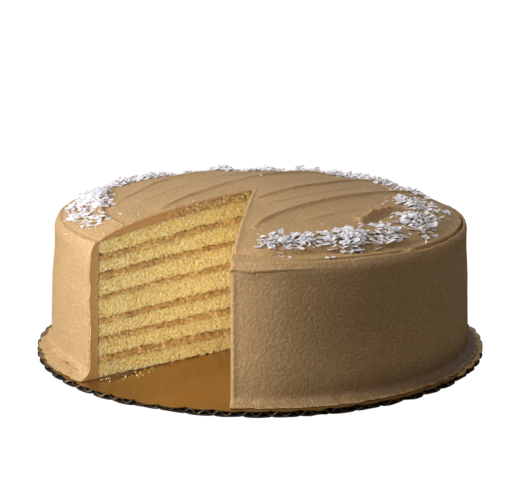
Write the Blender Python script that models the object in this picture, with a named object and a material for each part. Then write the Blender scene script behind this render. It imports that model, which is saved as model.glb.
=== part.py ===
"""A salted caramel layer cake on a scalloped board, with one slice cut out.

Seven thin sponge layers alternate with six caramel fillings. One coat of caramel
icing covers the top and the side, and salt flakes lie in a ring on it. Metres,
+Z up, origin at the centre of the board's underside. The slice opens towards -Y.
"""

import math
import random

import bmesh
import bpy
from mathutils import Matrix, Vector, geometry, noise

MM = 0.001

# Gap between neighbouring pieces, which in the real cake stick together
GAP = 0.3 * MM

# Channels of unevenness. The surfaces between layers take the numbers from 0 up.
CHANNEL_STEP = 7.3
WALL_CHANNEL = 20
FOOT_CHANNEL = 40

# Board: a 9 inch corrugated cake circle
BOARD_RADIUS = 114.3 * MM
BOARD_THICKNESS = 3.0 * MM
SCALLOP_COUNT = 56
SCALLOP_DEPTH = 1.5 * MM
POINTS_PER_SCALLOP = 4

# Layers, baked in 8 inch pans, from the board up
SPONGE_RADIUS = 101.6 * MM
SPONGE_EDGE = [7.3 * MM, 6.6 * MM, 5.3 * MM, 8.3 * MM, 7.0 * MM, 5.4 * MM, 6.2 * MM]
SPONGE_CENTRE = [7.5 * MM, 7.3 * MM, 7.4 * MM, 9.3 * MM, 8.7 * MM, 8.4 * MM, 8.2 * MM]
FILLING_EDGE = [3.1 * MM, 2.9 * MM, 3.3 * MM, 2.2 * MM, 3.3 * MM, 3.3 * MM]
FILLING_CENTRE = [3.7 * MM, 3.1 * MM, 4.0 * MM, 3.0 * MM, 2.6 * MM, 3.0 * MM]
LAYER_DOME_POWER = 1.4
LAYER_SIDES = 36
LAYER_MIDDLE_RING = 0.54
LAYER_WAVE = 0.4 * MM
LAYER_WAVE_LENGTH = 45 * MM

# The stack leans a little: its top falls towards +X and rises towards +Y
LEAN_X = -0.0177
LEAN_Y = 0.0038

# Slice: an eighth of the cake, cut a little past the centre line
SLICE_TIP = Vector((5.3 * MM, -16.5 * MM))
SLICE_HALF_ANGLE = math.radians(23.6)
SLICE_REACH = 140 * MM
SLICE_TOP = 120 * MM
SLICE_FLOOR = BOARD_THICKNESS + 0.1 * MM

# Icing: a domed top that rolls over a soft shoulder into a nearly upright wall.
# FOOT_CURVE gives shares of the foot's spread and of its height, going down.
TOP_CENTRE = 83.3 * MM
TOP_RADIUS = 103.8 * MM
TOP_FALL = 11.4 * MM
TOP_FALL_POWER = 1.5
TOP_ROLL = 5.6 * MM
TOP_ROLL_POWER = 8
FIELD_RADIUS = 97 * MM
FIELD_SPACING = 9.5 * MM
ICING_SIDES = 96
SHOULDER_RADIUS = 105.0 * MM
SHOULDER_DROP = 1.5 * MM
SHOULDER_END_DROP = 4.8 * MM
WALL_RADIUS = 105.3 * MM
WALL_MIDDLE_HEIGHTS = [44 * MM, 26 * MM]
WALL_FOOT_RADIUS = 106.2 * MM
WALL_WAVE = 0.35 * MM
WALL_WAVE_LENGTH = 38 * MM
FOOT_SPREAD = 3.8 * MM
FOOT_LEAST = 0.5 * MM
FOOT_HEIGHT = 9 * MM
FOOT_EDGE = 0.9 * MM
FOOT_RIGHT_LOSS = 0.8
FOOT_WAVE_LENGTH = 16 * MM
FOOT_CURVE = [(0.25, 0.4), (0.8, 0.12), (1.0, 0.0)]

# Folded lip round the rim, with a shallow groove behind it
LIP_RADIUS = 103.4 * MM
LIP_WIDTH = 1.3 * MM
LIP_HEIGHT = 0.8 * MM
GROOVE_RADIUS = 99.5 * MM
GROOVE_WIDTH = 1.9 * MM
GROOVE_DEPTH = 0.9 * MM
LIP_MIDDLE = math.radians(-10)
LIP_HALF_REACH = math.radians(75)
RIM_RADII = [FIELD_RADIUS, GROOVE_RADIUS, 101.6 * MM, LIP_RADIUS]

# Spatula strokes, each given by a few points on its crest, in millimetres,
# in a frame turned by STROKE_TURN from the cake's own
STROKE_TURN = math.radians(29.6)
STROKES = [
    (1.0, [(-71, -24), (-59, 3), (-43, 42), (-20, 76)]),
    (0.5, [(-59, -27), (-44, -6), (-15, 35), (8, 72)]),
    (1.3, [(-48, -46), (-26, -15), (1, 23), (17, 48), (38, 74)]),
    (1.0, [(-3, -35), (17.5, -11), (34, 8), (66, 50)]),
    (1.4, [(-3, -75), (11, -54), (40, -23), (69, 7.5), (82, 20)]),
    (0.6, [(18, -66), (33, -52), (47, -40)]),
    (1.5, [(47, -59), (57.5, -38), (69, -30)]),
    (0.9, [(-82, 10), (-78, -19), (-73.5, -44), (-63, -57.5)]),
]
STROKE_STEP = 6 * MM
STROKE_STEEP = 1.6 * MM
STROKE_DROP_OFFSET = 2.7 * MM
STROKE_GENTLE = 7 * MM
STROKE_FADE = 14 * MM
STROKE_UNIT = 1.0 * MM

# Salt flakes, in a ring about halfway between the strokes and the rim
FLAKE_COUNT = 150
FLAKE_RING = 87.5 * MM
FLAKE_RING_SPREAD = 5.0 * MM
FLAKE_RING_REACH = 11 * MM
FLAKE_LEAST = 1.6 * MM
FLAKE_MOST = 3.4 * MM
FLAKE_CUT_DISTANCE = 1.5 * MM
FLAKE_TRIES = 200
FLAKE_THICKNESS = 1.3 * MM
FLAKE_PROUD = 0.75 * MM
FLAKE_CORNERS = 5
FLAKE_TILT = math.radians(14)
FLAKE_CLEARANCE = 0.7 * MM
FLAKE_SEED = 11

# Finishes: colour, roughness, metallic
GOLD_BOARD = ((0.42, 0.21, 0.05), 0.34, 0.75)
SPONGE_CRUMB = ((0.78, 0.58, 0.19), 0.9, 0.0)
CARAMEL_FILLING = ((0.40, 0.19, 0.055), 0.6, 0.0)
CARAMEL_ICING = ((0.50, 0.31, 0.14), 0.5, 0.0)


def clear_scene():
    for old in list(bpy.data.objects):
        bpy.data.objects.remove(old, do_unlink=True)


def make_material(name, finish):
    colour, roughness, metallic = finish
    material = bpy.data.materials.new(name)
    material.use_nodes = True
    shader = material.node_tree.nodes["Principled BSDF"]
    shader.inputs["Base Color"].default_value = (*colour, 1.0)
    shader.inputs["Roughness"].default_value = roughness
    shader.inputs["Metallic"].default_value = metallic
    material.diffuse_color = (*colour, 1.0)
    return material


def make_object(name, bm, material=None, collection=None):
    """Turns the bmesh into a smooth-shaded object whose faces point out."""
    bmesh.ops.recalc_face_normals(bm, faces=bm.faces)
    mesh = bpy.data.meshes.new(name)
    bm.to_mesh(mesh)
    bm.free()
    mesh.shade_smooth()
    mesh.set_sharp_from_angle(angle=math.radians(40))
    piece = bpy.data.objects.new(name, mesh)
    if material:
        mesh.materials.append(material)
    (collection or bpy.context.scene.collection).objects.link(piece)
    return piece


def hide_cutter(piece):
    piece.hide_render = True
    piece.display_type = "WIRE"


def add_boolean(piece, name, operation, other=None, collection=None):
    modifier = piece.modifiers.new(name, "BOOLEAN")
    modifier.operation = operation
    modifier.solver = "EXACT"
    if collection:
        modifier.operand_type = "COLLECTION"
        modifier.collection = collection
    else:
        modifier.object = other


def apply_modifiers(piece):
    graph = bpy.context.evaluated_depsgraph_get()
    applied = bpy.data.meshes.new_from_object(piece.evaluated_get(graph))
    piece.modifiers.clear()
    piece.data = applied


def on_circle(radius, turn):
    return Vector((radius * math.cos(turn), radius * math.sin(turn)))


def ripple(x, y, length, channel):
    """Smooth unevenness between about -1 and 1, a different one for each channel."""
    return 2 * noise.noise(Vector((x / length, y / length, CHANNEL_STEP * channel)))


# Board


def scallop_radius(turn):
    """Radius of the scalloped outline: round bumps that meet in small notches."""
    along = turn * SCALLOP_COUNT / math.tau % 1.0
    arc = math.sqrt(max(0.0, 1 - (2 * along - 1) ** 2))
    return BOARD_RADIUS - SCALLOP_DEPTH * (1 - arc)


def make_board(material):
    bm = bmesh.new()
    count = SCALLOP_COUNT * POINTS_PER_SCALLOP
    outline = []
    for i in range(count):
        turn = math.tau * i / count
        outline.append(bm.verts.new((*on_circle(scallop_radius(turn), turn), 0)))
    base = bm.faces.new(outline)
    lifted = bmesh.ops.extrude_face_region(bm, geom=[base])
    top = [item for item in lifted["geom"] if isinstance(item, bmesh.types.BMVert)]
    bmesh.ops.translate(bm, verts=top, vec=(0, 0, BOARD_THICKNESS))
    return make_object("cake_board", bm, material)


# Sponge layers and fillings


def lean(x, y):
    return LEAN_X * x + LEAN_Y * y


def dome(x, y, edge, centre):
    """Height of a domed surface that is edge at the rim and centre in the middle."""
    share = min(1.0, math.hypot(x, y) / SPONGE_RADIUS)
    return edge + (centre - edge) * (1 - share**LAYER_DOME_POWER)


def layer_heights():
    """Edge and centre height of each surface between two layers, from the board up."""
    edge = centre = BOARD_THICKNESS + GAP / 2
    heights = [(edge, centre)]
    for i in range(len(SPONGE_EDGE) + len(FILLING_EDGE)):
        if i % 2 == 0:
            edge += SPONGE_EDGE[i // 2]
            centre += SPONGE_CENTRE[i // 2]
        else:
            edge += FILLING_EDGE[i // 2]
            centre += FILLING_CENTRE[i // 2]
        heights.append((edge, centre))
    return heights


def surface_between_layers(index, heights):
    """Height of one surface as a function of x and y."""
    edge, centre = heights[index]
    share = index / (len(heights) - 1)
    wave = LAYER_WAVE if index else 0.0

    def height(x, y):
        uneven = wave * ripple(x, y, LAYER_WAVE_LENGTH, index)
        return dome(x, y, edge, centre) + share * lean(x, y) + uneven

    return height


def make_disc(name, radius, bottom, top, material=None):
    """A round slab whose two faces follow the heights bottom(x, y) and top(x, y)."""
    bm = bmesh.new()
    skins = []
    for height in (bottom, top):
        centre = bm.verts.new((0, 0, height(0, 0)))
        rings = []
        for share in (LAYER_MIDDLE_RING, 1.0):
            ring = []
            for i in range(LAYER_SIDES):
                x, y = on_circle(radius * share, math.tau * i / LAYER_SIDES)
                ring.append(bm.verts.new((x, y, height(x, y))))
            rings.append(ring)
        inner, outer = rings
        for i in range(LAYER_SIDES):
            j = (i + 1) % LAYER_SIDES
            bm.faces.new((centre, inner[i], inner[j]))
            bm.faces.new((inner[i], outer[i], outer[j]))
            bm.faces.new((inner[i], outer[j], inner[j]))
        skins.append(outer)
    low, high = skins
    for i in range(LAYER_SIDES):
        j = (i + 1) % LAYER_SIDES
        bm.faces.new((low[i], low[j], high[j], high[i]))
    return make_object(name, bm, material)


def make_slice_cutter():
    """Wedge that takes the slice out of everything above the board."""
    corners = [SLICE_TIP]
    for side in (-1, 1):
        turn = -math.pi / 2 + side * SLICE_HALF_ANGLE
        corners.append(SLICE_TIP + on_circle(SLICE_REACH, turn))
    bm = bmesh.new()
    base = bm.faces.new([bm.verts.new((*corner, SLICE_FLOOR)) for corner in corners])
    lifted = bmesh.ops.extrude_face_region(bm, geom=[base])
    top = [item for item in lifted["geom"] if isinstance(item, bmesh.types.BMVert)]
    bmesh.ops.translate(bm, verts=top, vec=(0, 0, SLICE_TOP - SLICE_FLOOR))
    cutter = make_object("slice_cutter", bm)
    hide_cutter(cutter)
    return cutter


def make_layers(cutter, sponge_material, filling_material):
    heights = layer_heights()
    for i in range(len(heights) - 1):
        low = surface_between_layers(i, heights)
        high = surface_between_layers(i + 1, heights)
        kind = "filling" if i % 2 else "sponge"
        material = filling_material if i % 2 else sponge_material
        layer = make_disc(
            f"{kind}_{i // 2 + 1}",
            SPONGE_RADIUS,
            lambda x, y, low=low: low(x, y) + GAP / 2,
            lambda x, y, high=high: high(x, y) - GAP / 2,
            material,
        )
        add_boolean(layer, "slice", "DIFFERENCE", cutter)


def make_core_cutter():
    """The layers' outer form with a gap round it, which hollows out the icing."""
    heights = layer_heights()
    top_of_layers = surface_between_layers(len(heights) - 1, heights)
    cutter = make_disc(
        "core_cutter",
        SPONGE_RADIUS + GAP,
        lambda x, y: 0.0,
        lambda x, y: top_of_layers(x, y) + GAP / 2,
    )
    hide_cutter(cutter)
    return cutter


# Icing


def smooth_path(points, step):
    """Points at even steps along a smooth curve through a few given ones."""
    ends = [2 * points[0] - points[1]] + points + [2 * points[-1] - points[-2]]
    path = []
    for i in range(1, len(ends) - 2):
        before, start, stop, after = ends[i - 1 : i + 3]
        pieces = max(1, round((stop - start).length / step))
        for k in range(pieces):
            t = k / pieces
            drift = (stop - before) * t
            bend = (2 * before - 5 * start + 4 * stop - after) * t**2
            twist = (3 * start - 3 * stop + after - before) * t**3
            path.append(start + 0.5 * (drift + bend + twist))
    path.append(points[-1])
    return path


def stroke_paths():
    """Each stroke's height and its crest as a list of points."""
    turned = Matrix.Rotation(STROKE_TURN, 2)
    paths = []
    for strength, crest in STROKES:
        points = [turned @ Vector(point) * MM for point in crest]
        paths.append((strength * STROKE_UNIT, smooth_path(points, STROKE_STEP)))
    return paths


def stroke_relief(spot, height, path):
    """Ridge that rises gently up to its crest and drops steeply on the other side."""
    best = None
    run = 0.0
    total = sum((b - a).length for a, b in zip(path, path[1:]))
    for a, b in zip(path, path[1:]):
        along = (b - a).normalized()
        reach = min(max((spot - a).dot(along), 0.0), (b - a).length)
        offset = spot - (a + along * reach)
        if best is None or offset.length < best[0]:
            side = along.x * offset.y - along.y * offset.x
            best = (offset.length, side, run + reach)
        run += (b - a).length
    distance, side, place = best
    ends = min(1.0, min(place, total - place) / STROKE_FADE)
    width = STROKE_GENTLE if side > 0 else STROKE_STEEP
    return height * math.sqrt(max(0.0, ends)) * math.exp(-((distance / width) ** 1.5))


def lip_share(turn):
    """How strong the rim's lip is at this angle, from 0 to 1."""
    off = abs((turn - LIP_MIDDLE + math.pi) % math.tau - math.pi)
    return max(0.0, math.cos(math.pi / 2 * min(1.0, off / LIP_HALF_REACH))) ** 0.5


def bump(value, middle, width):
    return math.exp(-(((value - middle) / width) ** 2))


def icing_top(x, y, paths):
    """Height of the icing's upper face."""
    radius = math.hypot(x, y)
    share = radius / TOP_RADIUS
    height = TOP_CENTRE - TOP_FALL * share**TOP_FALL_POWER - TOP_ROLL * share**TOP_ROLL_POWER
    relief = sum(stroke_relief(Vector((x, y)), size, path) for size, path in paths)
    strength = lip_share(math.atan2(y, x))
    lip = LIP_HEIGHT * bump(radius, LIP_RADIUS, LIP_WIDTH)
    groove = GROOVE_DEPTH * bump(radius, GROOVE_RADIUS, GROOVE_WIDTH)
    return height + lean(x, y) + relief + strength * (lip - groove)


def foot_reach(turn):
    """How far the icing is smeared out over the board at this angle."""
    x, y = on_circle(WALL_FOOT_RADIUS, turn)
    rough = 0.5 + 0.5 * ripple(x, y, FOOT_WAVE_LENGTH, FOOT_CHANNEL)
    left_share = 1 - FOOT_RIGHT_LOSS * (1 + math.cos(turn)) / 2
    return FOOT_LEAST + FOOT_SPREAD * min(1.0, max(0.0, rough)) * left_share


def wall_rings(paths):
    """Rings of points from the rim down to the board, each a list of (x, y, z)."""
    floor = BOARD_THICKNESS + GAP
    rings = []
    for radius in RIM_RADII:
        ring = []
        for i in range(ICING_SIDES):
            x, y = on_circle(radius, math.tau * i / ICING_SIDES)
            ring.append((x, y, icing_top(x, y, paths)))
        rings.append(ring)
    rim_heights = [z for _, _, z in rings[-1]]
    levels = [
        (SHOULDER_RADIUS, [z - SHOULDER_DROP for z in rim_heights]),
        (WALL_RADIUS, [z - SHOULDER_END_DROP for z in rim_heights]),
    ]
    for height in WALL_MIDDLE_HEIGHTS:
        levels.append((WALL_RADIUS, [height] * ICING_SIDES))
    levels.append((WALL_FOOT_RADIUS, [floor + FOOT_HEIGHT] * ICING_SIDES))
    for channel, (radius, level) in enumerate(levels):
        ring = []
        for i in range(ICING_SIDES):
            turn = math.tau * i / ICING_SIDES
            x, y = on_circle(radius, turn)
            uneven = WALL_WAVE * ripple(x, y, WALL_WAVE_LENGTH, WALL_CHANNEL + channel)
            x, y = on_circle(radius + uneven, turn)
            ring.append((x, y, level[i]))
        rings.append(ring)
    for share, lift in FOOT_CURVE:
        ring = []
        for i in range(ICING_SIDES):
            turn = math.tau * i / ICING_SIDES
            x, y = on_circle(WALL_FOOT_RADIUS + share * foot_reach(turn), turn)
            ring.append((x, y, floor + FOOT_EDGE + lift * (FOOT_HEIGHT - FOOT_EDGE)))
        rings.append(ring)
    rings.append([(x, y, floor) for x, y, z in rings[-1]])
    return rings


def field_points(paths):
    """Points and edges for the stroked field: its rim, each stroke, and a loose grid."""
    points = [on_circle(FIELD_RADIUS, math.tau * i / ICING_SIDES) for i in range(ICING_SIDES)]
    edges = [(i, (i + 1) % ICING_SIDES) for i in range(ICING_SIDES)]
    limit = FIELD_RADIUS - 0.5 * FIELD_SPACING
    for _, path in paths:
        for offset in (0.0, STROKE_DROP_OFFSET):
            line = []
            for k, point in enumerate(path):
                along = path[min(k + 1, len(path) - 1)] - path[max(k - 1, 0)]
                across = Vector((along.y, -along.x)).normalized()
                shifted = point + across * offset
                if shifted.length < limit:
                    line.append(shifted)
            edges += [(len(points) + k, len(points) + k + 1) for k in range(len(line) - 1)]
            points += line
    taken = list(points)
    rows = math.ceil(FIELD_RADIUS / FIELD_SPACING)
    for row in range(-rows, rows + 1):
        for column in range(-rows, rows + 1):
            spot = Vector((column + 0.5 * (row % 2), row * math.sqrt(3) / 2)) * FIELD_SPACING
            room = min((spot - other).length for other in taken)
            if spot.length < limit and room > 0.5 * FIELD_SPACING:
                points.append(spot)
    return points, edges


def make_icing_body(paths, material):
    """The icing as a filled block, before it is hollowed out."""
    bm = bmesh.new()
    points, edges = field_points(paths)
    flat, _, triangles, *_ = geometry.delaunay_2d_cdt(points, edges, [], 0, 1e-6)
    field = [bm.verts.new((*spot, icing_top(*spot, paths))) for spot in flat]
    for corners in triangles:
        bm.faces.new([field[corner] for corner in corners])
    rings = [[bm.verts.new(spot) for spot in ring] for ring in wall_rings(paths)]
    for upper, lower in zip(rings, rings[1:]):
        for i in range(ICING_SIDES):
            j = (i + 1) % ICING_SIDES
            bm.faces.new((upper[i], upper[j], lower[j]))
            bm.faces.new((upper[i], lower[j], lower[i]))
    bm.faces.new(rings[-1])
    bmesh.ops.remove_doubles(bm, verts=bm.verts, dist=0.01 * MM)
    return make_object("icing", bm, material)


# Salt flakes


def in_slice(spot, clearance):
    """Whether a point lies in the missing slice, or nearer to it than clearance."""
    across = abs(spot.x - SLICE_TIP.x)
    outward = SLICE_TIP.y - spot.y
    inside = across * math.cos(SLICE_HALF_ANGLE) - outward * math.sin(SLICE_HALF_ANGLE)
    return outward > -clearance and inside < clearance


def flake_spots(chance):
    """Centres and sizes of the flakes, the largest first, none touching another."""
    sizes = [chance.uniform(FLAKE_LEAST, FLAKE_MOST) for _ in range(FLAKE_COUNT)]
    placed = []
    for size in sorted(sizes, reverse=True):
        for _ in range(FLAKE_TRIES):
            radius = chance.gauss(FLAKE_RING, FLAKE_RING_SPREAD)
            spot = on_circle(radius, chance.uniform(0, math.tau))
            off_ring = abs(radius - FLAKE_RING) + size > FLAKE_RING_REACH
            if off_ring or in_slice(spot, size + FLAKE_CUT_DISTANCE):
                continue
            room = min(((spot - other).length - reach for other, reach in placed), default=1.0)
            if room > size + FLAKE_CLEARANCE:
                placed.append((spot, size))
                break
    return placed


def lying_on_icing(spot, size, paths):
    """Matrix that lays a piece of this size flat on the icing's slope."""
    west, east = (icing_top(spot.x + step, spot.y, paths) for step in (-size, size))
    south, north = (icing_top(spot.x, spot.y + step, paths) for step in (-size, size))
    normal = Vector((west - east, south - north, 2 * size)).normalized()
    upright = normal.to_track_quat("Z", "Y").to_matrix().to_4x4()
    return Matrix.Translation((*spot, icing_top(*spot, paths))) @ upright


def make_flakes(paths):
    """Thin broken plates of salt, each half sunk in the icing."""
    chance = random.Random(FLAKE_SEED)
    flakes = bpy.data.collections.new("salt_flakes")
    bpy.context.scene.collection.children.link(flakes)
    for number, (spot, size) in enumerate(flake_spots(chance)):
        tilt = Matrix.Rotation(chance.uniform(-FLAKE_TILT, FLAKE_TILT), 4, "X")
        spin = Matrix.Rotation(chance.uniform(0, math.tau), 4, "Z")
        place = lying_on_icing(spot, size, paths) @ tilt @ spin
        bm = bmesh.new()
        rim = []
        for corner in range(FLAKE_CORNERS):
            turn = math.tau * (corner + chance.uniform(-0.25, 0.25)) / FLAKE_CORNERS
            reach = size * chance.uniform(0.65, 1.0)
            rim.append(bm.verts.new((*on_circle(reach, turn), FLAKE_PROUD)))
        top = bm.faces.new(rim)
        sunk = bmesh.ops.extrude_face_region(bm, geom=[top])
        low = [item for item in sunk["geom"] if isinstance(item, bmesh.types.BMVert)]
        bmesh.ops.translate(bm, verts=low, vec=(0, 0, -FLAKE_THICKNESS))
        bmesh.ops.transform(bm, matrix=place, verts=bm.verts)
        make_object(f"flake_{number}", bm, collection=flakes)
    return flakes


def make_icing(cutter, material):
    paths = stroke_paths()
    icing = make_icing_body(paths, material)
    core = make_core_cutter()
    add_boolean(icing, "hollow", "DIFFERENCE", core)
    add_boolean(icing, "slice", "DIFFERENCE", cutter)
    flakes = make_flakes(paths)
    add_boolean(icing, "salt", "UNION", collection=flakes)
    apply_modifiers(icing)
    for flake in list(flakes.objects):
        bpy.data.objects.remove(flake, do_unlink=True)
    bpy.data.collections.remove(flakes)
    bpy.data.objects.remove(core, do_unlink=True)


def main():
    clear_scene()
    make_board(make_material("gold_board", GOLD_BOARD))
    cutter = make_slice_cutter()
    sponge = make_material("sponge_crumb", SPONGE_CRUMB)
    filling = make_material("caramel_filling", CARAMEL_FILLING)
    make_layers(cutter, sponge, filling)
    make_icing(cutter, make_material("caramel_icing", CARAMEL_ICING))


main()
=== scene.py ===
import math
import random

import bmesh
import bpy
import numpy as np
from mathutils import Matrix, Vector, geometry, noise


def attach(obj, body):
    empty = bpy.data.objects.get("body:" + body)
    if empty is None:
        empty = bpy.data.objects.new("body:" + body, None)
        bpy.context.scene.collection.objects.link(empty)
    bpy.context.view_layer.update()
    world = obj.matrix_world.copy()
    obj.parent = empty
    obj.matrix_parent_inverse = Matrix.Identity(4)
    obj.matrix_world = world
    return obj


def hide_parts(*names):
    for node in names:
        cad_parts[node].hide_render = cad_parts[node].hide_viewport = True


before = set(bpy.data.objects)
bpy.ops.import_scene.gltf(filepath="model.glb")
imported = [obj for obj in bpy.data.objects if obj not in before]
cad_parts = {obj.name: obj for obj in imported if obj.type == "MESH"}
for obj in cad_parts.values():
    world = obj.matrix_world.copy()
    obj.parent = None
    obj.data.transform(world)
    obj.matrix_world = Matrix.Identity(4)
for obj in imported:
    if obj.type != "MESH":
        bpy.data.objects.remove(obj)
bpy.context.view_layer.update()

# Cake board
# A nine inch cake circle of corrugated card: a gold foil liner on top, a fluted
# middle and a plain kraft liner below, glued together and die cut with a scalloped
# edge. The cake stands on the foil.

# Shapes are in millimetres. Bumps in materials, the lights and the camera are in metres.
MM = 0.001
# Points of a piece nearer to each other than this, in metres, become one
WELD_DISTANCE = 2e-6

BOARD_RADIUS = 114.1
BOARD_THICKNESS = 3.0
SCALLOP_COUNT = 56
SCALLOP_DEPTH = 1.5
POINTS_PER_SCALLOP = 12
LINER_THICKNESS = 0.36
FLUTE_LENGTH = 6.4
FLUTE_STEP = 0.4
FLUTE_PAPER = 0.34
FLUTE_SETBACK = 0.35
FLUTE_MARGIN = 2.5
EDGE_CRUSH = 0.7
EDGE_CRUSH_REACH = 5.0
# Flutes, strokes, salt and lights are placed in a frame turned by this
WORK_TURN = math.radians(29.6)


def linear(hex_colour):
    """Linear colour of an sRGB hex value."""
    shares = [int(hex_colour[i : i + 2], 16) / 255 for i in (1, 3, 5)]
    bent = [s / 12.92 if s <= 0.04045 else ((s + 0.055) / 1.055) ** 2.4 for s in shares]
    return (*bent, 1.0)


def fill_inputs(tree, node, inputs):
    """Gives each named input of a node its value, or links it to a socket."""
    for name, value in inputs.items():
        if isinstance(value, bpy.types.NodeSocket):
            tree.links.new(value, node.inputs[name])
        else:
            node.inputs[name].default_value = value
    return node


def add_node(tree, kind, inputs=None, **settings):
    """Adds a node with its settings, and its inputs' values and links."""
    node = tree.nodes.new(kind)
    for name, value in settings.items():
        setattr(node, name, value)
    return fill_inputs(tree, node, inputs or {})


def start_material(name):
    """A new material's tree and a socket with the place on the object in millimetres."""
    material = bpy.data.materials.new(name)
    material.use_nodes = True
    tree = material.node_tree
    place = add_node(tree, "ShaderNodeTexCoord")
    inputs = {0: place.outputs["Object"], "Scale": 1 / MM}
    scaled = add_node(tree, "ShaderNodeVectorMath", inputs, operation="SCALE")
    return material, tree, scaled.outputs["Vector"]


def mottling(tree, place, size, detail=3.0, roughness=0.5):
    """Soft noise from 0 to 1 whose spots are about this size."""
    inputs = {"Vector": place, "Scale": 1 / size, "Detail": detail, "Roughness": roughness}
    return add_node(tree, "ShaderNodeTexNoise", inputs).outputs["Fac"]


def between(tree, share, first, second):
    """A colour between two others, each a hex value or a socket."""
    colours = [linear(c) if isinstance(c, str) else c for c in (first, second)]
    inputs = {0: share, 6: colours[0], 7: colours[1]}
    return add_node(tree, "ShaderNodeMix", inputs, data_type="RGBA").outputs[2]


def stretched(tree, value, low=0.0, high=1.0, to_low=0.0, to_high=1.0):
    """A value whose range from low to high is stretched to another range."""
    inputs = {"Value": value, "From Min": low, "From Max": high}
    inputs.update({"To Min": to_low, "To Max": to_high})
    return add_node(tree, "ShaderNodeMapRange", inputs).outputs["Result"]


def bumps(tree, height, depth, strength=1.0, under=None):
    """Small bumps of this depth in metres, if need be on top of other bumps."""
    inputs = {"Height": height, "Distance": depth, "Strength": strength}
    if under is not None:
        inputs["Normal"] = under
    return add_node(tree, "ShaderNodeBump", inputs).outputs["Normal"]


def mesh_mark(tree, name):
    """A value that each point of the piece carries under this name."""
    return add_node(tree, "ShaderNodeAttribute", attribute_name=name).outputs["Fac"]


def set_surface(tree, colour, roughness, normal, scatter=None, **more):
    """The surface of a material. scatter is how light spreads in it: share, reach
    of red, green and blue, and depth in metres."""
    inputs = {"Base Color": colour, "Roughness": roughness, "Normal": normal, **more}
    if scatter:
        names = ("Subsurface Weight", "Subsurface Radius", "Subsurface Scale")
        inputs.update(zip(names, scatter))
    fill_inputs(tree, tree.nodes["Principled BSDF"], inputs)


def turned(points, angle):
    """Points turned about the upright axis."""
    c, s = math.cos(angle), math.sin(angle)
    x, y = points[..., 0], points[..., 1]
    return np.stack([c * x - s * y, s * x + c * y], axis=-1)


def direction(turn):
    """The level direction at this angle, or one for each of several."""
    return np.stack([np.cos(turn), np.sin(turn)], axis=-1)


def smooth_noise(points, size, shift=0.0):
    """Soft unevenness between about -1 and 1, whose lumps are about this size."""
    flat = np.asarray(points, float).reshape(-1, points.shape[-1])
    if flat.shape[1] == 2:
        flat = np.column_stack([flat, np.zeros(len(flat))])
    values = [noise.noise(Vector(p)) for p in (flat / size + shift).tolist()]
    return 1.6 * np.array(values).reshape(points.shape[:-1])


def sheet(points, values=None, marks=1):
    """A part over a grid of points: the points, triangles, and values for the marks."""
    rows, columns = points.shape[:2]
    low = (np.arange(rows - 1)[:, None] * columns + np.arange(columns - 1)).ravel()
    first = np.stack([low, low + 1, low + columns + 1], axis=1)
    second = np.stack([low, low + columns + 1, low + columns], axis=1)
    values = np.zeros((rows * columns, marks)) if values is None else values
    triangles = np.concatenate([first, second])
    return points.reshape(-1, 3), triangles, values.reshape(rows * columns, -1)


def joined(parts):
    """Several parts as one."""
    points, triangles, values = zip(*parts)
    starts = np.cumsum([0] + [len(p) for p in points])
    triangles = [np.asarray(t) + start for t, start in zip(triangles, starts)]
    return [np.concatenate(rows) for rows in (points, triangles, values)]


def add_object(name, data):
    """A new object in the scene."""
    made = bpy.data.objects.new(name, data)
    bpy.context.scene.collection.objects.link(made)
    return made


def add_piece(name, parts, material, nodes=(), marks=(), crease=50):
    """Makes one piece, welds its parts, fixes it to the cake and gives it its finish."""
    points, triangles, values = joined(parts)
    mesh = bpy.data.meshes.new(name)
    mesh.from_pydata((points * MM).tolist(), [], triangles.tolist())
    for column, mark in enumerate(marks):
        layer = mesh.attributes.new(mark, "FLOAT", "POINT")
        layer.data.foreach_set("value", values[:, column].astype(np.float32))
    bm = bmesh.new()
    bm.from_mesh(mesh)
    bmesh.ops.remove_doubles(bm, verts=bm.verts, dist=WELD_DISTANCE)
    bmesh.ops.recalc_face_normals(bm, faces=bm.faces)
    bm.to_mesh(mesh)
    bm.free()
    mesh.shade_smooth()
    mesh.set_sharp_from_angle(angle=math.radians(crease))
    mesh.materials.append(material)
    piece = add_object(name, mesh)
    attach(piece, "root")
    if nodes:
        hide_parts(*nodes)


def scallop_radius(turn):
    """Radius of the die cut outline: round bumps that meet in small notches."""
    along = turn * SCALLOP_COUNT / math.tau % 1.0
    arc = np.sqrt(np.maximum(0.0, 1 - (2 * along - 1) ** 2))
    return BOARD_RADIUS - SCALLOP_DEPTH * (1 - arc)


def crush(points):
    """How far the board's edge is pressed in, from 0 to EDGE_CRUSH."""
    radius = np.hypot(points[..., 0], points[..., 1])
    near_edge = np.clip(1 - (BOARD_RADIUS - radius) / EDGE_CRUSH_REACH, 0, 1)
    dents = np.clip(smooth_noise(points[..., :2], 9.0, 4.7) - 0.1, 0, 1)
    return EDGE_CRUSH * near_edge * dents


def liner(low, high):
    """One flat sheet of the board, between two heights."""
    turns = np.linspace(0, math.tau, SCALLOP_COUNT * POINTS_PER_SCALLOP + 1)
    edge = scallop_radius(turns)
    rows = []
    for height, shares in ((low, (0.0, 0.5, 0.93, 1.0)), (high, (1.0, 0.98, 0.93, 0.5, 0.0))):
        for share in shares:
            flat = direction(turns) * (edge * share)[:, None]
            rows.append(np.column_stack([flat, np.full(len(turns), height)]))
    points = np.stack(rows)
    towards_middle = np.sign(BOARD_THICKNESS / 2 - (low + high) / 2)
    points[..., 2] += towards_middle * crush(points)
    return sheet(points)


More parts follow.
